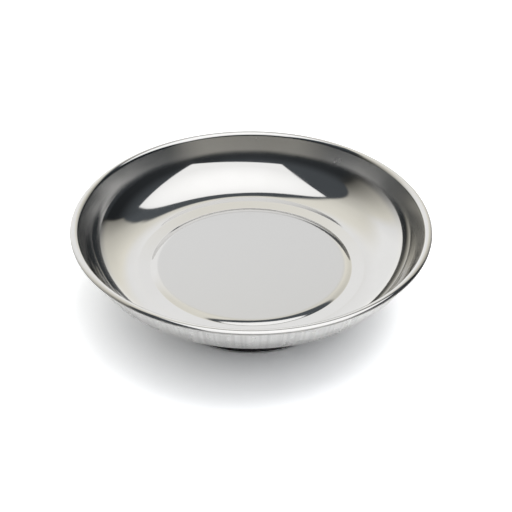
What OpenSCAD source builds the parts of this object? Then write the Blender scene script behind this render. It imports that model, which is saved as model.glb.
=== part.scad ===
// Magnetic parts tray: a drawn sheet-steel dish with a ring magnet clamped under its sunken centre.
// A welded stud and its nut hold the magnet's steel cup and the rubber boot that the tray stands on.
// Lengths are in millimetres and angles in degrees. Z points up and the boot stands on Z = 0.

/* [Dish] */
// Diameter over the rim
rim_d = 150; // [142:1:200]
// Radius of the rolled rim's upper face
rim_roll_r = 1.9; // [1.2:0.1:3.5]
// How far the rolled rim turns down past level
rim_droop = 48; // [10:2:84]
// Straight edge that is left past the roll
rim_edge = 0.2; // [0.1:0.1:2]
// Thickness of the dish's sheet
sheet_t = 0.8; // [0.5:0.1:1]
// Depth of the ring-shaped floor below the rim
dish_depth = 21.05; // [16:0.05:35]
// Lean of the wall away from upright
wall_lean = 20.5; // [5:0.5:30]
// Inside radius where the floor turns up into the wall
corner_r = 21.5; // [8:0.5:22.5]
// Least width of flat floor and of straight wall beside that corner, which gives way to keep them
corner_land = 0.4; // [0.2:0.1:1]

/* [Sunken panel] */
// Drop from the ring-shaped floor to the panel
panel_drop = 0.9; // [0.5:0.05:3]
// Flat of the panel's underside that is left round the boot
panel_margin = 1.2; // [0.5:0.1:3]
// Depth of the channel round the panel, below the panel
channel_depth = 0.43; // [0.2:0.01:0.8]
// Slope from the panel down into the channel
channel_slope = 8.5; // [5:0.5:20]
// Radius at the panel's edge
channel_shoulder_r = 3.3; // [1.2:0.1:6]
// Radius at the foot of the channel
channel_foot_r = 1.1; // [0.5:0.1:2.5]
// Slope of the step from the channel up to the ring-shaped floor
step_slope = 17.5; // [12:0.5:35]
// Radius at the crest of the step
step_crest_r = 4.5; // [1.5:0.1:6]

/* [Ring magnet] */
// Outer diameter of the magnet
magnet_d = 70; // [50:1:80]
// Bore of the magnet
magnet_bore = 32; // [25:1:44]
// Thickness of the magnet
magnet_t = 12; // [9:0.5:20]
// Chamfer on the magnet's edges
magnet_chamfer = 1; // [0.9:0.1:2]

/* [Steel cup] */
// Thickness of the cup's sheet
cup_t = 1.5; // [1:0.1:1.8]
// Gap round the magnet in the cup
magnet_gap = 0.3; // [0.1:0.1:1]
// Inside radius of the cup's bends
cup_bend_r = 0.8; // [0.5:0.1:0.9]
// Inside diameter of the raised middle that hides the nut
dimple_d = 15; // [14:0.5:18]

/* [Rubber boot] */
// Thickness of the boot's side wall
boot_wall = 1.6; // [1:0.1:2.2]
// Thickness of the boot's floor
boot_floor = 3.75; // [2:0.05:4.5]
// Thickness of the lip that is gripped between cup and dish
boot_lip = 1; // [0.6:0.1:1.5]
// Gap between boot and cup
boot_fit = 0.1; // [0.05:0.05:0.3]
// Radius round the boot's foot
boot_foot_r = 2; // [0.5:0.1:2.5]
// Diameter of the hole that the nut is driven through
access_d = 14; // [12:0.5:15]
// Chamfer at the mouth of that hole
access_chamfer = 0.8; // [0.2:0.1:1.5]
// Number of grip grooves under the boot
groove_count = 3; // [1:1:4]
// Width of a grip groove
groove_w = 1.2; // [0.6:0.1:2]
// Depth of a grip groove
groove_depth = 0.8; // [0.3:0.1:1.2]
// Distance from one groove to the next, and from the edge to the first
groove_pitch = 6; // [4:0.5:6.5]

/* [Stud, washers and nut] */
// Thread diameter of the stud
stud_d = 5; // [4:0.5:6]
// Diameter of the stud's weld flange
stud_flange_d = 6.5; // [6.2:0.1:9]
// Thickness of the stud's weld flange
stud_flange_t = 0.8; // [0.5:0.1:1.5]
// Thread that shows past the nut
stud_stick = 1.3; // [0.8:0.1:2]
// Room between the stud's end and the table
stud_clear = 0.5; // [0.2:0.1:1.5]
// Chamfer on the stud's end
stud_chamfer = 0.6; // [0.2:0.1:0.7]
// Gap round the stud in the nut
thread_fit = 0.05; // [0.05:0.05:0.15]
// Gap round the stud in the spring washer
spring_fit = 0.1; // [0.05:0.05:0.3]
// Gap round the stud in the flat washer
washer_fit = 0.15; // [0.05:0.05:0.3]
// Gap round the stud in the cup
cup_hole_fit = 0.5; // [0.2:0.1:0.8]
// Width across the nut's flats
nut_flats = 8; // [8:0.5:10]
// Diameter of the nut's turned end faces
nut_face_d = 7.6; // [7:0.1:7.9]
// Height of the nut
nut_h = 4; // [3:0.1:5]
// Outer diameter of the flat washer
washer_d = 10; // [9:0.1:11]
// Thickness of the flat washer
washer_t = 1; // [0.8:0.1:1.5]
// Outer diameter of the spring washer
spring_d = 9.2; // [8:0.1:10]
// Thickness of the spring washer
spring_t = 1.2; // [0.8:0.1:1.6]
// Width of the split in the spring washer
split_w = 0.9; // [0.4:0.1:1.5]
// Slant of the split
split_slant = 25; // [0:1:40]

/* [Hidden] */

$fn = 96;
cut_past = 1;

// Radii of the nested base, from the magnet outwards
magnet_r = magnet_d / 2;
cup_inside_r = magnet_r + magnet_gap;
cup_r = cup_inside_r + cup_t;
boot_inside_r = cup_r + boot_fit;
boot_r = boot_inside_r + boot_wall;
panel_r = boot_r + panel_margin;
stud_r = stud_d / 2;
dimple_r = dimple_d / 2;
cup_outer_bend_r = cup_bend_r + cup_t;

// Heights of the base, from the table upwards
cup_z = boot_floor;
stud_end_z = stud_clear;
nut_z = stud_end_z + stud_stick;
spring_z = nut_z + nut_h;
washer_z = spring_z + spring_t;
roof_z = washer_z + washer_t;
magnet_z = cup_z + cup_t;
seat_z = magnet_z + magnet_t;
cup_top_z = seat_z - boot_lip;

// Heights of the dish's upper face
panel_z = seat_z + sheet_t;
floor_z = panel_z + panel_drop;
rim_z = floor_z + dish_depth;

// Channel's inner side: two bends with a straight slope between them
channel_bends_r = channel_shoulder_r + channel_foot_r;
channel_slope_drop = channel_depth - channel_bends_r * (1 - cos(channel_slope));
channel_run = channel_bends_r * sin(channel_slope) + channel_slope_drop / tan(channel_slope);

// Step from the channel to the ring-shaped floor, made the same way
step_bends_r = channel_foot_r + step_crest_r;
step_slope_rise = panel_drop + channel_depth - step_bends_r * (1 - cos(step_slope));
step_run = step_bends_r * sin(step_slope) + step_slope_rise / tan(step_slope);
step_end_r = panel_r + channel_run + step_run;

// Rolled rim, which reaches the rim's diameter at its rounded edge
rim_r = rim_d / 2;
wall_turn = 90 - wall_lean;
bend_rise = 1 - sin(wall_lean);
edge_reach = (rim_roll_r - sheet_t / 2) * sin(rim_droop) + rim_edge * cos(rim_droop) + sheet_t / 2;
roll_start_r = rim_r - edge_reach - rim_roll_r * cos(wall_lean);

// Corner between floor and wall, as large as set or as the floor and the wall leave room for
wall_foot_r = roll_start_r - (dish_depth - rim_roll_r * bend_rise) * tan(wall_lean);
corner_floor_share = cos(wall_lean) - bend_rise * tan(wall_lean);
corner_floor_room_r = (wall_foot_r - step_end_r - corner_land) / corner_floor_share;
corner_wall_room_r = (dish_depth - corner_land) / bend_rise - rim_roll_r;
corner_bend_r = min(corner_r, corner_floor_room_r, corner_wall_room_r);
corner_start_r = wall_foot_r - corner_bend_r * corner_floor_share;
wall_rise = dish_depth - (rim_roll_r + corner_bend_r) * bend_rise;

// Legs of the dish's sheet from the axis to the rim: length, turn at its end, upper face's radius there
dish_legs = [
    [panel_r, -channel_slope, channel_shoulder_r],
    [channel_slope_drop / sin(channel_slope), channel_slope + step_slope, channel_foot_r],
    [step_slope_rise / sin(step_slope), -step_slope, step_crest_r],
    [corner_start_r - step_end_r, wall_turn, corner_bend_r],
    [wall_rise / cos(wall_lean), -wall_turn - rim_droop, rim_roll_r],
    [rim_edge, 0, 0]
];

// Legs of the cup's sheet from the stud's hole to the top edge
cup_hole_r = stud_r + cup_hole_fit;
cup_legs = [
    [dimple_r - cup_bend_r - cup_hole_r, -90, cup_outer_bend_r],
    [roof_z - cup_z - cup_bend_r - cup_outer_bend_r, 90, cup_bend_r],
    [cup_r - dimple_r - 2 * cup_outer_bend_r, 90, cup_bend_r],
    [cup_top_z - cup_z - cup_outer_bend_r, 0, 0]
];

// Place at the far end of a bend, turned along the sheet
module after_bend(turn, r) {
    side = sign(turn);
    translate([0, side * r])
        rotate(turn)
            translate([0, -side * r])
                children();
}

// Bend in a sheet of thickness t, in section: a ring cut off square to the sheet at both ends
module bend(turn, r, t) {
    side = sign(turn);
    far = 2 * (r + t);
    intersection() {
        translate([0, side * r])
            difference() {
                circle(r = max(r, r + side * t));
                circle(r = min(r, r + side * t));
            }
        translate([0, -far])
            square([far, 2 * far]);
        after_bend(turn, r)
            translate([-far, -far])
                square([far, 2 * far]);
    }
}

// Sheet in section with its upper face along the legs, and its children at the end of the last leg
module sheet(legs, t, i = 0) {
    translate([0, -t])
        square([legs[i][0], t]);
    translate([legs[i][0], 0])
        if (i < len(legs) - 1) {
            bend(legs[i][1], legs[i][2], t);
            after_bend(legs[i][1], legs[i][2])
                sheet(legs, t, i + 1)
                    children();
        } else
            children();
}

// Flat stretch of a section between two radii, standing on a height
module flat(from_r, to_r, z, t) {
    translate([from_r, z])
        square([to_r - from_r, t]);
}

// What a rounded outer corner at the foot of a section loses
module foot_corner(r, z, radius) {
    difference() {
        flat(r - radius, r + cut_past, z - cut_past, radius + cut_past);
        translate([r - radius, z + radius])
            circle(r = radius);
    }
}

// Flat ring between two radii, standing on a height
module ring(outer_r, inner_r, z, h) {
    translate([0, 0, z])
        difference() {
            cylinder(r = outer_r, h = h);
            translate([0, 0, -cut_past])
                cylinder(r = inner_r, h = h + 2 * cut_past);
        }
}

// Drawn dish with a channel round its panel and a rolled rim, one sheet thickness all the way
module tray_bowl() {
    color("gainsboro")
        rotate_extrude()
            translate([0, panel_z])
                sheet(dish_legs, sheet_t)
                    translate([0, -sheet_t / 2])
                        circle(d = sheet_t);
}

// Flanged stud, welded to the underside of the panel
module weld_stud() {
    color("silver")
        rotate_extrude()
            polygon([
                [0, seat_z],
                [stud_flange_d / 2, seat_z],
                [stud_flange_d / 2, seat_z - stud_flange_t],
                [stud_r, seat_z - stud_flange_t],
                [stud_r, stud_end_z + stud_chamfer],
                [stud_r - stud_chamfer, stud_end_z],
                [0, stud_end_z]
            ]);
}

// Ferrite ring with broken edges
module ring_magnet() {
    bore_r = magnet_bore / 2;
    color("dimgray")
        rotate_extrude()
            polygon([
                [bore_r + magnet_chamfer, magnet_z],
                [magnet_r - magnet_chamfer, magnet_z],
                [magnet_r, magnet_z + magnet_chamfer],
                [magnet_r, seat_z - magnet_chamfer],
                [magnet_r - magnet_chamfer, seat_z],
                [bore_r + magnet_chamfer, seat_z],
                [bore_r, seat_z - magnet_chamfer],
                [bore_r, magnet_z + magnet_chamfer]
            ]);
}

// Drawn cup round the magnet, with a raised middle that the nut pulls on
module magnet_cup() {
    color("lightgray")
        rotate_extrude()
            translate([cup_hole_r, roof_z + cup_t])
                sheet(cup_legs, cup_t);
}

module flat_washer() {
    color("silver")
        ring(washer_d / 2, stud_r + washer_fit, washer_z, washer_t);
}

// Spring washer pressed flat, with its slanted split
module spring_washer() {
    color("darkgray")
        difference() {
            ring(spring_d / 2, stud_r + spring_fit, spring_z, spring_t);
            translate([spring_d / 2, 0, spring_z + spring_t / 2])
                rotate([split_slant, 0, 0])
                    cube([spring_d, split_w, spring_d], center = true);
        }
}

// Hexagon nut with its corners turned off at both faces
module hex_nut() {
    face_r = nut_face_d / 2;
    corners_r = nut_flats / 2 / cos(30);
    turned_h = (corners_r - face_r) * tan(30);
    color("silver")
        difference() {
            intersection() {
                translate([0, 0, nut_z])
                    cylinder(r = corners_r, h = nut_h, $fn = 6);
                rotate_extrude()
                    polygon([
                        [0, nut_z],
                        [face_r, nut_z],
                        [corners_r, nut_z + turned_h],
                        [corners_r, nut_z + nut_h - turned_h],
                        [face_r, nut_z + nut_h],
                        [0, nut_z + nut_h]
                    ]);
            }
            translate([0, 0, nut_z - cut_past])
                cylinder(r = stud_r + thread_fit, h = nut_h + 2 * cut_past);
        }
}

// Boot that wraps the cup, with a lip over its edge and grip grooves underneath
module rubber_boot() {
    access_r = access_d / 2;
    color([0.07, 0.07, 0.07])
        difference() {
            rotate_extrude()
                difference() {
                    flat(access_r, boot_r, 0, seat_z);
                    foot_corner(boot_r, 0, boot_foot_r);
                    difference() {
                        flat(0, boot_inside_r, cup_z, cup_top_z - cup_z);
                        foot_corner(boot_inside_r, cup_z, cup_outer_bend_r);
                    }
                    flat(0, cup_inside_r, cup_z + cup_outer_bend_r, seat_z);
                    polygon([
                        [access_r, access_chamfer],
                        [access_r, -cut_past],
                        [access_r + access_chamfer + cut_past, -cut_past]
                    ]);
                }
            for (i = [1:groove_count])
                ring(
                    boot_r - i * groove_pitch + groove_w / 2,
                    boot_r - i * groove_pitch - groove_w / 2,
                    -cut_past,
                    cut_past + groove_depth
                );
        }
}

tray_bowl();
weld_stud();
ring_magnet();
magnet_cup();
flat_washer();
spring_washer();
hex_nut();
rubber_boot();
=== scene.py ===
"""Magnetic parts tray: a polished drawn-steel dish on a rubber-booted ring magnet.

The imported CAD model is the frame. The dish, boot, cup, stud, nut and flat washer are turned again here as
smooth meshes with their small radii and threads, and the rest keeps its CAD mesh with a better finish.
The dish has the CAD's rim and wall, but its panel and floor depart from the CAD by about half a millimetre.
"""

import math

import bpy
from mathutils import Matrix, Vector


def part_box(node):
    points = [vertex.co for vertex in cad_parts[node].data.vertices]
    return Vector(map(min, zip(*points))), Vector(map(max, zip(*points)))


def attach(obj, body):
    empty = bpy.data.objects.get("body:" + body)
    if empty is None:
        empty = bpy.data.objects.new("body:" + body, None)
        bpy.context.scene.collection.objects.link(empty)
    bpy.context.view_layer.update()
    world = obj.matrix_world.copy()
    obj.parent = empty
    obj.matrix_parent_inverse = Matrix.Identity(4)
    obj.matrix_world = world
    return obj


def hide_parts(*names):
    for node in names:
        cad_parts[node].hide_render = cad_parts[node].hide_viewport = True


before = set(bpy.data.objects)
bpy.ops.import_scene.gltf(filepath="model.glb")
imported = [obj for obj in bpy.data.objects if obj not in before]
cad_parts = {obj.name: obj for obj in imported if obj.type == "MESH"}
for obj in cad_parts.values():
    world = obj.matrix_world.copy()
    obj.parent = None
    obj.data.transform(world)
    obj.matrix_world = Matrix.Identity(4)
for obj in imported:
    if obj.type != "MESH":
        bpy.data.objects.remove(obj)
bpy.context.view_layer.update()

MM = 0.001
BODY = "root"

# Dish: the sheet, its bends and its slopes. The ring lies between the CAD's and what the steel mirrors.
SHEET = 0.8 * MM
WALL_LEAN = math.radians(20.5)
CORNER_RADIUS = 22.2 * MM
RIM_ROLL = 1.9 * MM
RIM_DROOP = math.radians(48)
RIM_EDGE = 0.2 * MM
PANEL_RADIUS = 38.7 * MM
PANEL_RISE = 0.5 * MM  # over the CAD's panel
FLOOR_RISE = -0.1 * MM  # from the panel to the ring-shaped floor
CHANNEL_DEPTH = 0.62 * MM
CHANNEL_SLOPE = math.radians(14.5)
CHANNEL_SHOULDER = 12 * MM
CHANNEL_FOOT = 1.2 * MM
STEP_SLOPE = math.radians(5.8)
STEP_CREST = 4 * MM
DISH_STEPS = 320

rim_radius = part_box("tray_bowl")[1].x
rim_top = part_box("tray_bowl")[1].z
panel_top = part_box("ring_magnet")[1].z + SHEET + PANEL_RISE

# Base: cup, boot, stud and nut
CUP_SHEET = 1.5 * MM
CUP_BEND = 0.8 * MM
CUP_HOLE = 3 * MM
DIMPLE_RADIUS = 7.5 * MM
ACCESS_RADIUS = 7 * MM
ACCESS_CHAMFER = 0.8 * MM
BOOT_FOOT = 2 * MM
BOOT_LIP = 1 * MM
BOOT_GAP = 0.1 * MM
GRIP_GROOVES = [20.5 * MM, 26.5 * MM, 32.5 * MM]
GRIP_WIDTH = 1.2 * MM
GRIP_DEPTH = 0.8 * MM
MOULD_LINE = 9 * MM
MOULD_LINE_PROUD = 0.05 * MM
MOULD_LINE_HALF = 0.15 * MM
WASHER_BORE = 2.65 * MM
STUD_RADIUS = 2.5 * MM
THREAD_PITCH = 0.8 * MM
THREAD_DEPTH = 0.6134 * THREAD_PITCH
THREAD_STEPS = 36
THREAD_RUN_IN = 2.317  # turns below the end, so that no point lies in the cut
THREAD_SPARE = 5  # turns more than the stud shows
END_SPARE = 0.37 * MM
END_CHAMFER = 0.7 * MM
NECK = 1.2 * MM
FLANGE = 0.8 * MM
BOOT_STEPS = 192
CUP_STEPS = 160
STUD_STEPS = 70
SMALL_STEPS = 96


# Hand tools for turning a section

def start_section(name, radius, height):
    """A new mesh with one selected point, where the section begins."""
    bpy.ops.object.select_all(action="DESELECT")
    bpy.ops.mesh.primitive_plane_add(size=MM, location=(radius, 0, height))
    piece = bpy.context.object
    piece.name = piece.data.name = name
    bpy.ops.object.transform_apply(location=True, rotation=True, scale=True)
    bpy.ops.object.mode_set(mode="EDIT")
    bpy.ops.mesh.select_all(action="SELECT")
    bpy.ops.mesh.merge(type="CENTER")
    return piece


class Scriber:
    """Draws a section point by point: straight runs, and bends on a true radius."""

    EDGE = 0.12 * MM

    def __init__(self, radius, height):
        self.r, self.z, self.heading = radius, height, 0.0

    def _extrude(self, dr, dz):
        bpy.ops.mesh.extrude_region_move(TRANSFORM_OT_translate={"value": (dr, 0, dz)})
        self.r += dr
        self.z += dz

    def run(self, length):
        """Straight run, with a close point at each end to hold the shading flat."""
        parts = [length] if length > 0 else []
        if length > 4 * self.EDGE:
            parts = [self.EDGE, length - 2 * self.EDGE, self.EDGE]
        for part in parts:
            self._extrude(part * math.cos(self.heading), part * math.sin(self.heading))

    def to(self, radius, height):
        """Straight run to a place."""
        dr, dz = radius - self.r, height - self.z
        self.heading = math.atan2(dz, dr)
        self.run(math.hypot(dr, dz))

    def bend(self, turn, radius, steps):
        """Arc to the left for a positive turn, to the right for a negative one."""
        side = math.copysign(1, turn)
        centre_r = self.r - side * radius * math.sin(self.heading)
        centre_z = self.z + side * radius * math.cos(self.heading)
        bpy.ops.mesh.spin(steps=steps, angle=turn, center=(centre_r, 0, centre_z), axis=(0, 1, 0))
        self.heading += turn
        self.r = centre_r + side * radius * math.sin(self.heading)
        self.z = centre_z - side * radius * math.cos(self.heading)

    def outline(self, corners):
        """Straight runs from corner to corner, each corner rounded: (radius, height, rounding)."""
        for i, (radius, height, rounding) in enumerate(corners):
            dr, dz = radius - self.r, height - self.z
            self.heading = math.atan2(dz, dr)
            if not rounding:
                self.run(math.hypot(dr, dz))
                continue
            after = corners[i + 1]
            turn = math.atan2(after[1] - height, after[0] - radius) - self.heading
            turn = (turn + math.pi) % (2 * math.pi) - math.pi
            self.run(math.hypot(dr, dz) - rounding * math.tan(abs(turn) / 2))
            self.bend(turn, rounding, max(3, round(abs(turn) * 5)))


def turn_section(piece, steps):
    """Spins the drawn section right round the axis and leaves a closed smooth shell."""
    bpy.ops.mesh.select_all(action="SELECT")
    bpy.ops.mesh.spin(steps=steps, angle=2 * math.pi, center=(0, 0, 0), axis=(0, 0, 1))
    bpy.ops.mesh.select_all(action="SELECT")
    bpy.ops.mesh.remove_doubles(threshold=0.002 * MM)
    bpy.ops.mesh.normals_make_consistent(inside=False)
    bpy.ops.object.mode_set(mode="OBJECT")
    bpy.ops.object.shade_smooth()
    return piece


def turn_sheet(name, radius, height, legs, thickness, steps):
    """Turns sheet metal: out along the upper face, round the free edge and back along the underside.

    Each leg is its length, then the turn, upper face's radius and steps of the bend at its end. The last
    bend is the free edge.
    """
    piece = start_section(name, radius, height)
    pen = Scriber(radius, height)
    for length, turn, bend, count in legs:
        pen.run(length)
        pen.bend(turn, bend, count)
    for i in range(len(legs) - 1, -1, -1):
        pen.run(legs[i][0])
        if i:
            _, turn, bend, count = legs[i - 1]
            pen.bend(-turn, bend + math.copysign(thickness, turn), count)
    if radius:
        pen.to(radius, height)
    return turn_section(piece, steps)


def only(piece):
    """Makes this the one selected, active piece."""
    bpy.ops.object.select_all(action="DESELECT")
    piece.select_set(True)
    bpy.context.view_layer.objects.active = piece


def combine(piece, tool, operation):
    """Adds, cuts or keeps what another piece covers, and uses that piece up."""
    only(piece)
    bpy.ops.object.modifier_add(type="BOOLEAN")
    cut = piece.modifiers[-1]
    cut.operation = operation
    cut.object = tool
    bpy.ops.object.modifier_apply(modifier=cut.name)
    bpy.data.objects.remove(tool)


def turn_outward(piece):
    """Turns a round piece's faces over if they look towards its axis."""
    only(piece)
    looks = sum(f.area * (f.normal.x * f.center.x + f.normal.y * f.center.y) for f in piece.data.polygons)
    if looks < 0:
        bpy.ops.object.mode_set(mode="EDIT")
        bpy.ops.mesh.select_all(action="SELECT")
        bpy.ops.mesh.flip_normals()
        bpy.ops.object.mode_set(mode="OBJECT")


def soften(piece, width):
    """Rounds the sharp edges of a piece a little and smooths the rest."""
    angle = math.radians(35)
    only(piece)
    bpy.ops.object.modifier_add(type="BEVEL")
    edge = piece.modifiers[-1]
    edge.width = width
    edge.segments = 2
    edge.angle_limit = angle
    bpy.ops.object.modifier_apply(modifier=edge.name)
    bpy.ops.object.shade_smooth_by_angle(angle=angle)


def fit(piece, node):
    """The piece stands for a CAD node: the node is hidden and the piece joins the body."""
    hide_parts(node)
    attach(piece, BODY)
    return piece


# Dish

def turn_dish():
    """Drawn dish: flat panel, channel round it, gentle rise, large corner, leaning wall and rolled rim."""
    def slope(rise, angle, bends):
        """Straight leg between two bends that climb a slope, and how far out they all reach."""
        leg = (rise - bends * (1 - math.cos(angle))) / math.sin(angle)
        return leg, bends * math.sin(angle) + leg * math.cos(angle)

    inner_leg, inner_run = slope(CHANNEL_DEPTH, CHANNEL_SLOPE, CHANNEL_SHOULDER + CHANNEL_FOOT)
    outer_leg, outer_run = slope(FLOOR_RISE + CHANNEL_DEPTH, STEP_SLOPE, CHANNEL_FOOT + STEP_CREST)
    wall_turn = math.pi / 2 - WALL_LEAN
    depth = rim_top - panel_top - FLOOR_RISE
    edge_reach = (RIM_ROLL - SHEET / 2) * math.sin(RIM_DROOP) + RIM_EDGE * math.cos(RIM_DROOP) + SHEET / 2
    roll_start = rim_radius - edge_reach - RIM_ROLL * math.cos(WALL_LEAN)
    wall_rise = depth - (RIM_ROLL + CORNER_RADIUS) * (1 - math.sin(WALL_LEAN))
    corner_start = roll_start - wall_rise * math.tan(WALL_LEAN) - CORNER_RADIUS * math.cos(WALL_LEAN)
    return turn_sheet("dish", 0, panel_top, [
        (PANEL_RADIUS, -CHANNEL_SLOPE, CHANNEL_SHOULDER, 8),
        (inner_leg, CHANNEL_SLOPE + STEP_SLOPE, CHANNEL_FOOT, 10),
        (outer_leg, -STEP_SLOPE, STEP_CREST, 12),
        (corner_start - PANEL_RADIUS - inner_run - outer_run, wall_turn, CORNER_RADIUS, 44),
        (wall_rise / math.cos(WALL_LEAN), -wall_turn - RIM_DROOP, RIM_ROLL, 24),
        (RIM_EDGE, -math.pi, SHEET / 2, 12),
    ], SHEET, DISH_STEPS)


dish = fit(turn_dish(), "tray_bowl")


# Base

def turn_boot():
    """Rubber boot: rounded foot with grip grooves, a moulding line round its side and a lip over the cup."""
    radius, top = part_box("rubber_boot")[1].x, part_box("rubber_boot")[1].z
    cup_low, cup_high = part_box("magnet_cup")
    inside, floor = cup_high.x + BOOT_GAP, cup_low.z
    side, line = radius - MOULD_LINE_PROUD, MOULD_LINE
    lip, start = cup_high.x - CUP_SHEET, floor - 0.5 * MM
    corners = [(ACCESS_RADIUS, ACCESS_CHAMFER, 0.3 * MM), (ACCESS_RADIUS + ACCESS_CHAMFER, 0, 0.3 * MM)]
    for middle in GRIP_GROOVES:
        near, far = middle - GRIP_WIDTH / 2, middle + GRIP_WIDTH / 2
        corners += [(near, 0, 0.2 * MM), (near, GRIP_DEPTH, 0.25 * MM)]
        corners += [(far, GRIP_DEPTH, 0.25 * MM), (far, 0, 0.2 * MM)]
    corners += [
        (side, 0, BOOT_FOOT),
        (side, line - MOULD_LINE_HALF, 0.05 * MM),
        (radius, line, 0.04 * MM),
        (side, line + MOULD_LINE_HALF, 0.05 * MM),
        (side, top, 0.35 * MM),
        (lip, top, 0.3 * MM),
        (lip, top - BOOT_LIP, 0.25 * MM),
        (inside, top - BOOT_LIP, 0.2 * MM),
        (inside, floor, CUP_BEND + CUP_SHEET),
        (ACCESS_RADIUS, floor, 0.3 * MM),
        (ACCESS_RADIUS, start, 0),
    ]
    piece = start_section("boot", ACCESS_RADIUS, start)
    Scriber(ACCESS_RADIUS, start).outline(corners)
    return turn_section(piece, BOOT_STEPS)


def turn_cup():
    """Drawn cup with a raised middle that the nut pulls on."""
    low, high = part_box("magnet_cup")
    outer_bend = CUP_BEND + CUP_SHEET
    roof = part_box("flat_washer")[1].z
    quarter = math.pi / 2
    return turn_sheet("cup", CUP_HOLE, roof + CUP_SHEET, [
        (DIMPLE_RADIUS - CUP_BEND - CUP_HOLE, -quarter, outer_bend, 8),
        (roof - low.z - CUP_BEND - outer_bend, quarter, CUP_BEND, 6),
        (high.x - DIMPLE_RADIUS - 2 * outer_bend, quarter, CUP_BEND, 6),
        (high.z - low.z - outer_bend - CUP_SHEET / 2, -math.pi, CUP_SHEET / 2, 10),
    ], CUP_SHEET, CUP_STEPS)


def turn_washer():
    """Punched flat washer: rounded over on one face, sharper on the other."""
    low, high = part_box("flat_washer")
    bore, middle = WASHER_BORE, (low.z + high.z) / 2
    piece = start_section("washer", bore, middle)
    Scriber(bore, middle).outline([
        (bore, low.z, 0.12 * MM),
        (high.x, low.z, 0.15 * MM),
        (high.x, high.z, 0.3 * MM),
        (bore, high.z, 0.25 * MM),
        (bore, middle, 0),
    ])
    return turn_section(piece, SMALL_STEPS)


def cut_stud():
    """Weld stud: a flange and plain neck on a rolled thread with a chamfered end."""
    low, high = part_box("weld_stud")
    major, minor = STUD_RADIUS, STUD_RADIUS - THREAD_DEPTH
    neck = high.z - FLANGE - NECK
    past, shank, overlap = 0.1 * MM, minor + 0.2 * MM, neck - 1 * MM

    # One turn: root, flank, crest, flank and root, in shares of the pitch
    begin = low.z - THREAD_RUN_IN * THREAD_PITCH
    thread = start_section("stud_thread", minor, begin)
    pen = Scriber(minor, begin)
    pen.EDGE = THREAD_PITCH
    tooth = major - minor
    for dr, dz in [(0, 0.125), (tooth, 0.34375), (0, 0.125), (-tooth, 0.34375), (0, 0.0625)]:
        pen.to(pen.r + dr, pen.z + dz * THREAD_PITCH)
    bpy.ops.object.mode_set(mode="OBJECT")
    bpy.ops.object.modifier_add(type="SCREW")
    screw = thread.modifiers[-1]
    screw.axis = "Z"
    screw.screw_offset = THREAD_PITCH
    screw.iterations = int((neck - low.z) / THREAD_PITCH) + THREAD_SPARE
    screw.steps = screw.render_steps = THREAD_STEPS
    screw.use_merge_vertices = True
    screw.merge_threshold = 0.001 * MM
    bpy.ops.object.modifier_apply(modifier=screw.name)
    bpy.ops.object.mode_set(mode="EDIT")
    bpy.ops.mesh.select_all(action="SELECT")
    bpy.ops.mesh.remove_doubles(threshold=0.005 * MM)
    for place, side in ((low.z - END_SPARE, (0, 0, -1)), (neck, (0, 0, 1))):
        bpy.ops.mesh.select_all(action="SELECT")
        bpy.ops.mesh.bisect(plane_co=(0, 0, place), plane_no=side, clear_outer=True)
    bpy.ops.mesh.select_all(action="SELECT")
    bpy.ops.mesh.fill_holes(sides=0)
    bpy.ops.mesh.normals_make_consistent(inside=False)
    bpy.ops.object.mode_set(mode="OBJECT")
    turn_outward(thread)

    # Blank that trims the thread to its length and chamfers its end
    ends = start_section("stud_ends", 0, low.z)
    Scriber(0, low.z).outline([
        (minor - past, low.z, 0),
        (major + past, low.z + END_CHAMFER, 0),
        (major + past, high.z, 0),
        (0, high.z, 0),
    ])
    turn_section(ends, STUD_STEPS)
    combine(thread, ends, "INTERSECT")

    # Neck and flange, joined to the thread
    stud = start_section("stud", 0, overlap)
    Scriber(0, overlap).outline([
        (shank, overlap, 0),
        (shank, high.z - FLANGE, 0.25 * MM),
        (high.x, high.z - FLANGE, 0.15 * MM),
        (high.x, high.z, 0.1 * MM),
        (0, high.z, 0),
    ])
    turn_section(stud, STUD_STEPS)
    combine(stud, thread, "UNION")
    bpy.ops.object.mode_set(mode="EDIT")
    bpy.ops.mesh.select_all(action="SELECT")
    bpy.ops.mesh.fill_holes(sides=0)
    bpy.ops.object.mode_set(mode="OBJECT")
    turn_outward(stud)
    bpy.ops.object.shade_smooth_by_angle(angle=math.radians(30))
    return stud


def cut_nut():
    """Hexagon nut: corners turned off at both faces, countersunk bore, edges broken."""
    low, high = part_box("hex_nut")
    middle, height = (low.z + high.z) / 2, high.z - low.z
    flats, face, bore, sink, past = 4 * MM, 3.8 * MM, 2.55 * MM, 0.35 * MM, 0.1 * MM
    corner = flats / math.cos(math.pi / 6)
    turned = (corner + past - face) * math.tan(math.pi / 6)
    bpy.ops.object.select_all(action="DESELECT")
    bpy.ops.mesh.primitive_cylinder_add(vertices=6, radius=corner, depth=height, location=(0, 0, middle),
                                        rotation=(0, 0, math.pi / 6))
    nut = bpy.context.object
    nut.name = nut.data.name = "nut"
    bpy.ops.object.transform_apply(location=True, rotation=True, scale=True)

    blank = start_section("nut_blank", bore, middle)
    Scriber(bore, middle).outline([
        (bore, low.z + sink, 0),
        (bore + sink, low.z, 0),
        (face, low.z, 0),
        (corner + past, low.z + turned, 0),
        (corner + past, high.z - turned, 0),
        (face, high.z, 0),
        (bore + sink, high.z, 0),
        (bore, high.z - sink, 0),
        (bore, middle, 0),
    ])
    turn_section(blank, SMALL_STEPS)
    combine(nut, blank, "INTERSECT")
    soften(nut, 0.08 * MM)
    return nut


boot = fit(turn_boot(), "rubber_boot")
cup = fit(turn_cup(), "magnet_cup")
washer = fit(turn_washer(), "flat_washer")
stud = fit(cut_stud(), "weld_stud")
nut = fit(cut_nut(), "hex_nut")


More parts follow.
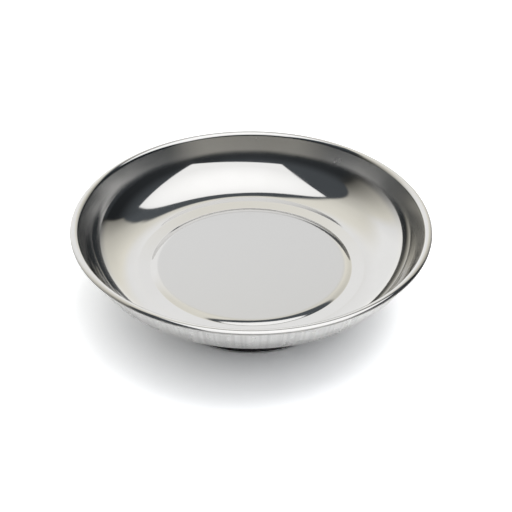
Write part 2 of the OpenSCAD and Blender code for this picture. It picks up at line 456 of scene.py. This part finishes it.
# Finish of the dish: satin band up the wall, panel, marks of the die and grain
SATIN_START = 28.5 * MM
SATIN_FULL = 33 * MM
SATIN_FADE = 1.6 * MM  # below the top of the rim
SATIN_END = 0.9 * MM
PANEL_FINISH_RADIUS = 39.7 * MM
FINISH_FADE = 0.6 * MM
INNER_MARKS = 1.1 * MM
OUTER_MARKS = 1.3 * MM
MARK_LENGTH = 120 * MM
MARK_RELIEF = 1.2e-5
MARK_SHIFT = (37.3, 11.7, 5.1)  # to a plain place of the noise
GRAIN_SCALE = 2600
GRAIN_RELIEF = 3e-7
CUT_EDGE = 0.6 * SHEET


# Hand tools for finishes

def node(tree, kind, inputs=(), **settings):
    """Adds a node, and sets or links its inputs."""
    made = tree.nodes.new("ShaderNode" + kind)
    for name, value in settings.items():
        setattr(made, name, value)
    for name, value in dict(inputs).items():
        if isinstance(value, bpy.types.NodeSocket):
            tree.links.new(value, made.inputs[name])
        else:
            made.inputs[name].default_value = value
    return made


def maths(tree, operation, *values):
    return node(tree, "Math", enumerate(values), operation=operation).outputs[0]


def vectors(tree, operation, *values):
    made = node(tree, "VectorMath", enumerate(values), operation=operation)
    return made.outputs["Value" if operation in ("DOT_PRODUCT", "LENGTH") else "Vector"]


def remap(tree, value, low, high, to_low, to_high, smooth=False):
    """Carries a value from one range to another, held at both ends."""
    made = node(tree, "MapRange", {"Value": value, "From Min": low, "From Max": high,
                                   "To Min": to_low, "To Max": to_high})
    if smooth:
        made.interpolation_type = "SMOOTHSTEP"
    return made.outputs["Result"]


def blend(tree, factor, a, b):
    """Mixes two colours or shades."""
    made = node(tree, "Mix", data_type="RGBA")
    for socket, value in ((made.inputs["Factor"], factor), (made.inputs[6], a), (made.inputs[7], b)):
        if isinstance(value, bpy.types.NodeSocket):
            tree.links.new(value, socket)
        else:
            socket.default_value = value
    return made.outputs[2]


def ramp(tree, value, stops):
    """Colour ramp through stops of place and colour, or of place and level."""
    made = node(tree, "ValToRGB", {0: value})
    elements = made.color_ramp.elements
    elements.remove(elements[1])
    for i, (place, colour) in enumerate(stops):
        stop = elements.new(place) if i else elements[0]
        stop.position = place
        stop.color = (*colour, 1) if isinstance(colour, tuple) else (colour, colour, colour, 1)
    return made.outputs["Color"]


def noise(tree, place, scale, detail, roughness):
    made = node(tree, "TexNoise", {"Vector": place, "Scale": scale, "Detail": detail, "Roughness": roughness})
    return made.outputs["Fac"]


def bump(tree, height, distance, under=None):
    """Surface relief of a height texture, that many metres from its lowest to its highest."""
    made = node(tree, "Bump", {"Height": height, "Distance": distance, "Strength": 1.0})
    if under:
        tree.links.new(under, made.inputs["Normal"])
    return made.outputs["Normal"]


def new_finish(name, metal):
    """A material with its node tree, main shader and object coordinates at hand."""
    finish = bpy.data.materials.new(name)
    finish.use_nodes = True
    tree = finish.node_tree
    shader = tree.nodes["Principled BSDF"]
    shader.inputs["Metallic"].default_value = metal
    return finish, tree, shader, tree.nodes.new("ShaderNodeTexCoord").outputs["Object"]


def draw_marks(tree, place, spacing):
    """Fine streaks that run up and down the wall, as the drawing die leaves them, without a seam."""
    round_axis = vectors(tree, "NORMALIZE", vectors(tree, "MULTIPLY", place, (1, 1, 0)))
    across = vectors(tree, "SCALE", round_axis)
    across.node.inputs["Scale"].default_value = rim_radius / spacing
    down = vectors(tree, "MULTIPLY", place, (0, 0, 1 / MARK_LENGTH))
    across = vectors(tree, "ADD", across, MARK_SHIFT)
    return noise(tree, vectors(tree, "ADD", across, down), 1.0, 1.0, 0.5)


# Finishes

def polished_steel():
    """Inside of the dish: mirror-like on the floor, more satin with draw marks up the wall."""
    finish, tree, shader, place = new_finish("polished_steel", 1)
    height = node(tree, "SeparateXYZ", {0: place}).outputs["Z"]
    wall = remap(tree, height, SATIN_START, SATIN_FULL, 0, 1, smooth=True)
    off_roll = remap(tree, height, rim_top - SATIN_FADE, rim_top - SATIN_END, 1, 0, smooth=True)
    wall = maths(tree, "MULTIPLY", wall, off_roll)
    smudge = noise(tree, place, 90, 4, 0.55)
    streak = draw_marks(tree, place, INNER_MARKS)
    flat = vectors(tree, "LENGTH", vectors(tree, "MULTIPLY", place, (1, 1, 0)))
    inner, outer = PANEL_FINISH_RADIUS - FINISH_FADE, PANEL_FINISH_RADIUS + FINISH_FADE
    panel = remap(tree, flat, inner, outer, 1, 0, smooth=True)
    rough = maths(tree, "ADD", remap(tree, wall, 0, 1, 0.055, 0.25), maths(tree, "MULTIPLY", panel, 0.05))
    rough = maths(tree, "ADD", rough, remap(tree, smudge, 0.35, 0.75, -0.012, 0.028))
    tree.links.new(rough, shader.inputs["Roughness"])
    tint = ramp(tree, smudge, [(0.3, (0.675, 0.67, 0.66)), (0.7, (0.69, 0.686, 0.678))])
    tint = blend(tree, maths(tree, "MULTIPLY", panel, 0.6), tint, (0.545, 0.545, 0.545, 1))
    tree.links.new(tint, shader.inputs["Base Color"])
    grain = noise(tree, place, GRAIN_SCALE, 2, 0.5)
    relief = bump(tree, maths(tree, "MULTIPLY", streak, wall), MARK_RELIEF)
    tree.links.new(bump(tree, grain, GRAIN_RELIEF, relief), shader.inputs["Normal"])
    return finish


def drawn_steel():
    """Outside and underside of the dish: unpolished, with the die's upright marks."""
    finish, tree, shader, place = new_finish("drawn_steel", 1)
    streak = draw_marks(tree, place, OUTER_MARKS)
    cloud = noise(tree, place, 60, 3, 0.5)
    tree.links.new(remap(tree, cloud, 0.3, 0.7, 0.24, 0.3), shader.inputs["Roughness"])
    tint = ramp(tree, streak, [(0.3, (0.58, 0.58, 0.578)), (0.7, (0.69, 0.69, 0.688))])
    tree.links.new(tint, shader.inputs["Base Color"])
    relief = bump(tree, streak, MARK_RELIEF)
    grain = noise(tree, place, GRAIN_SCALE, 2, 0.5)
    tree.links.new(bump(tree, grain, GRAIN_RELIEF, relief), shader.inputs["Normal"])
    return finish


def cut_steel():
    """Free edge of the sheet: trimmed and deburred, so rougher than the faces; its darker tint is painted
    shade under the rolled lip.
    """
    finish, tree, shader, place = new_finish("cut_steel", 1)
    rub = noise(tree, vectors(tree, "MULTIPLY", place, (400, 400, 4000)), 1.0, 3, 0.6)
    tree.links.new(remap(tree, rub, 0.3, 0.7, 0.3, 0.48), shader.inputs["Roughness"])
    # Painted shade: the darker tint deepens the dark line along the edge, which is shade under the rolled lip
    tint = ramp(tree, rub, [(0.3, (0.42, 0.415, 0.41)), (0.7, (0.56, 0.555, 0.545))])
    tree.links.new(tint, shader.inputs["Base Color"])
    tree.links.new(bump(tree, rub, 1e-5), shader.inputs["Normal"])
    return finish


def zinc_plate(name, dark, light, rough):
    """Bright plate on small steel parts: cloudy, with a fine crystal grain."""
    finish, tree, shader, place = new_finish(name, 1)
    cloud = noise(tree, place, 260, 4, 0.6)
    grain = noise(tree, place, 5200, 2, 0.6)
    tree.links.new(ramp(tree, cloud, [(0.32, dark), (0.68, light)]), shader.inputs["Base Color"])
    tree.links.new(remap(tree, cloud, 0.3, 0.7, rough - 0.06, rough + 0.08), shader.inputs["Roughness"])
    tree.links.new(bump(tree, grain, 4e-6, bump(tree, cloud, 6e-6)), shader.inputs["Normal"])
    return finish


def pressed_ferrite():
    """Sintered ferrite: near black, grainy, with paler rubbed specks."""
    finish, tree, shader, place = new_finish("pressed_ferrite", 0)
    grain = noise(tree, place, 2400, 4, 0.65)
    patch = noise(tree, place, 140, 4, 0.6)
    tint = ramp(tree, patch, [(0.3, (0.07, 0.07, 0.075)), (0.7, (0.115, 0.112, 0.112))])
    specks = remap(tree, grain, 0.66, 0.72, 0, 0.55)
    tree.links.new(blend(tree, specks, tint, (0.22, 0.215, 0.21, 1)), shader.inputs["Base Color"])
    tree.links.new(remap(tree, grain, 0.3, 0.7, 0.62, 0.82), shader.inputs["Roughness"])
    tree.links.new(bump(tree, grain, 4e-5), shader.inputs["Normal"])
    return finish


def moulded_rubber():
    """Black rubber: fine mould texture, a little grey dust in places, shinier where it is rubbed."""
    finish, tree, shader, place = new_finish("moulded_rubber", 0)
    pores = noise(tree, place, 3000, 3, 0.6)
    patch = noise(tree, place, 110, 5, 0.6)
    dust = remap(tree, patch, 0.52, 0.75, 0, 0.45)
    tint = blend(tree, dust, (0.018, 0.018, 0.019, 1), (0.05, 0.049, 0.047, 1))
    tree.links.new(tint, shader.inputs["Base Color"])
    tree.links.new(remap(tree, patch, 0.3, 0.7, 0.48, 0.66), shader.inputs["Roughness"])
    tree.links.new(bump(tree, pores, 2.5e-5, bump(tree, patch, 6e-5)), shader.inputs["Normal"])
    return finish


def paint_dish():
    """Polished inside, drawn outside and underside, and a cut edge round the rim."""
    for finish in (polished_steel(), drawn_steel(), cut_steel()):
        dish.data.materials.append(finish)
    edge_radius = rim_radius - SHEET / 2
    edge_height = rim_top - RIM_ROLL + (RIM_ROLL - SHEET / 2) * math.cos(RIM_DROOP)
    edge_height -= RIM_EDGE * math.sin(RIM_DROOP)
    for face in dish.data.polygons:
        radius, height = math.hypot(face.center.x, face.center.y), face.center.z
        if math.hypot(radius - edge_radius, height - edge_height) < CUT_EDGE:
            face.material_index = 2
        elif face.normal.z < 0:
            face.material_index = 1


paint_dish()
plate = zinc_plate("zinc_plate", (0.6, 0.61, 0.625), (0.7, 0.705, 0.71), 0.3)
for piece in (cup, washer, stud, nut):
    piece.data.materials.clear()
    piece.data.materials.append(plate)
boot.data.materials.append(moulded_rubber())
dark_plate = zinc_plate("dark_plate", (0.36, 0.36, 0.37), (0.47, 0.47, 0.475), 0.38)
for name, finish in (("spring_washer", dark_plate), ("ring_magnet", pressed_ferrite())):
    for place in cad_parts[name].material_slots:
        place.material = finish


# Studio: pale floor, overhead softbox, pale sweep behind and a dim room

TABLE_RADIUS = 4
TABLE_COLOUR = (0.96, 0.96, 0.96, 1)
TABLE_MIRRORED = (1.35, 1.35, 1.35, 1)
TABLE_SEEN = (1.78, 1.8, 1.84, 1)
LAMP_SIZE = 0.9
LAMP_POWER = 5
LAMP_PLACE = (0.3, 0, 1.35)
CAMERA_LENS = 96.446
CAMERA_PLACE = (0, -0.47338, 0.35744)
CAMERA_TURN = (54.67, -0.334, -0.011)  # degrees


def floor():
    """White table, whiter still to the camera, that keeps the tray's shadow."""
    bpy.ops.object.select_all(action="DESELECT")
    bpy.ops.mesh.primitive_circle_add(vertices=64, radius=TABLE_RADIUS, fill_type="NGON", location=(0, 0, 0))
    table = bpy.context.object
    table.name = "floor"
    pale, tree, shader, _ = new_finish("pale_floor", 0)
    ray = node(tree, "LightPath").outputs
    colour = blend(tree, ray["Is Glossy Ray"], TABLE_COLOUR, TABLE_MIRRORED)
    colour = blend(tree, ray["Is Camera Ray"], colour, TABLE_SEEN)
    tree.links.new(colour, shader.inputs["Base Color"])
    shader.inputs["Roughness"].default_value = 0.9
    shader.inputs["Specular IOR Level"].default_value = 0
    table.data.materials.append(pale)


# Sweep: azimuth from straight behind the tray, to the right, with its level at three heights and its top edge
SWEEP_LOW = [(-100, 0.05), (-75, 0.35), (-45, 1.1), (0, 1.3), (15, 1.1), (25, 0.7), (35, 0.45), (50, 0.2),
             (57, 0)]
SWEEP_MIDDLE = [(-105, 0.05), (-60, 0.85), (-50, 1.0), (-40, 1.1), (-10, 1.1), (5, 1.05), (15, 1.0),
                (40, 0.65), (55, 0.3), (58, 0)]
SWEEP_HIGH = [(-105, 0.05), (-75, 0.6), (-50, 0.85), (-25, 0.95), (-5, 1.0), (20, 0.85), (35, 0.7), (50, 0.4),
              (57, 0.05)]
SWEEP_TOP = [(-104, 36), (-90, 44), (-75, 54), (-67, 58.5), (-58, 61.5), (-50, 63), (-40, 63.5),
             (-28, 62.5), (-19, 60.5), (-12, 58), (-7, 55), (-3, 51), (0, 49), (4, 48.5), (30, 48), (38, 45),
             (45, 42), (57, 34)]

# Softbox: its corners as directions with Z = 1, and its levels
SOFTBOX = [(0.03, 0.585), (0.93, 0.43), (1.36, -1.42), (-0.48, -1.09), (-0.41, 0.26)]
SOFTBOX_MIDDLE = 1.42
SOFTBOX_EDGE = 1.2


def surroundings():
    """What the metal mirrors and what lights the set, by direction. Levels in ramps are halved."""
    world = bpy.data.worlds.new("studio")
    world.use_nodes = True
    bpy.context.scene.world = world
    tree = world.node_tree
    aim = tree.nodes.new("ShaderNodeTexCoord").outputs["Generated"]
    split = node(tree, "SeparateXYZ", {0: aim}).outputs
    turn = maths(tree, "DIVIDE", maths(tree, "ARCTAN2", split["X"], split["Y"]), 2 * math.pi)
    turn = maths(tree, "ADD", turn, 0.5)
    rise = maths(tree, "MULTIPLY", maths(tree, "ARCSINE", split["Z"]), 180 / math.pi)

    def by_turn(stops):
        return ramp(tree, turn, [(azimuth / 360 + 0.5, value) for azimuth, value in stops])

    def warm(level, share):
        return (level / 2, level / 2 * (1 - 0.03 * share), level / 2 * (1 - 0.13 * share))

    def cool(level):
        return (level / 2 * 0.9, level / 2, level / 2 * 1.1)

    # Dim room, greyer over the sweep on the right, with a warm strip of far floor along the front
    room = by_turn([(-180, cool(0.04)), (-100, cool(0.03)), (-5, cool(0.05)), (4, cool(0.1)),
                    (46, cool(0.1)), (58, cool(0.02)), (100, cool(0.03)), (180, cool(0.04))])
    room = blend(tree, remap(tree, rise, 24, 44, 0, 0.7, smooth=True), room, (*cool(0.11), 1))
    strip = by_turn([(-150, warm(0.44, 1)), (-125, cool(0.05)), (125, cool(0.05)), (145, warm(0.46, 1))])
    level = blend(tree, remap(tree, rise, 10.5, 13.5, 1, 0), room, strip)

    # Sweep of pale paper, brightest behind on the left, fading to warm grey on the right
    low = by_turn([(a, warm(v, 0.3)) for a, v in SWEEP_LOW])
    middle = by_turn([(a, warm(v, 0 if -60 < a < 10 else 1)) for a, v in SWEEP_MIDDLE])
    high = by_turn([(a, warm(v, 0.9)) for a, v in SWEEP_HIGH])
    paper = blend(tree, remap(tree, rise, 8, 20, 0, 1, smooth=True), low, middle)
    paper = blend(tree, remap(tree, rise, 34, 48, 0, 1, smooth=True), paper, high)
    top = maths(tree, "MULTIPLY", by_turn([(a, v / 90) for a, v in SWEEP_TOP]), 90)
    inside = by_turn([(-112, 0.0), (-100, 1.0), (56, 1.0), (58, 0.0)])
    under_top = remap(tree, maths(tree, "SUBTRACT", rise, top), -1.5, 1.5, 1, 0, smooth=True)
    inside = maths(tree, "MULTIPLY", inside, under_top)
    level = blend(tree, inside, level, paper)

    # Softbox overhead, brightest in its middle: the directions on the inner side of all its edges
    box = None
    corners = [Vector((x, y, 1)) for x, y in SOFTBOX]
    middle = sum((c.normalized() for c in corners), Vector()).normalized()
    for i, corner in enumerate(corners):
        edge = corner.cross(corners[(i + 1) % len(corners)]).normalized()
        edge *= math.copysign(1, edge.dot(middle))
        side = remap(tree, vectors(tree, "DOT_PRODUCT", aim, tuple(edge)), -0.01, 0.01, 0, 1, smooth=True)
        box = maths(tree, "MULTIPLY", box, side) if box else side
    off_middle = vectors(tree, "DOT_PRODUCT", aim, tuple(middle))
    cloth = remap(tree, off_middle, 0.8, 0.98, SOFTBOX_EDGE / 2, SOFTBOX_MIDDLE / 2)
    level = blend(tree, box, level, cloth)

    seen = node(tree, "LightPath").outputs["Is Camera Ray"]
    level = blend(tree, seen, level, (0.5, 0.5, 0.5, 1))
    light = tree.nodes["Background"]
    light.inputs["Strength"].default_value = 2
    tree.links.new(level, light.inputs["Color"])


def lamp():
    """Large soft lamp above, a little to the right, that brings the table to a plain level."""
    light = bpy.data.lights.new("key_lamp", "AREA")
    light.shape = "DISK"
    light.size = LAMP_SIZE
    light.energy = LAMP_POWER
    holder = bpy.data.objects.new("key_lamp", light)
    holder.location = LAMP_PLACE
    holder.rotation_euler = Vector(holder.location).to_track_quat("Z", "Y").to_euler()
    holder.visible_glossy = holder.visible_camera = False
    bpy.context.scene.collection.objects.link(holder)


def camera():
    """The photograph's view."""
    lens = bpy.data.cameras.new("camera")
    lens.lens = CAMERA_LENS
    lens.sensor_width = 36
    lens.clip_start = 0.01
    holder = bpy.data.objects.new("camera", lens)
    holder.location = CAMERA_PLACE
    holder.rotation_euler = [math.radians(a) for a in CAMERA_TURN]
    bpy.context.scene.collection.objects.link(holder)
    bpy.context.scene.camera = holder


floor()
surroundings()
lamp()
camera()
bpy.context.scene.view_settings.view_transform = "Standard"
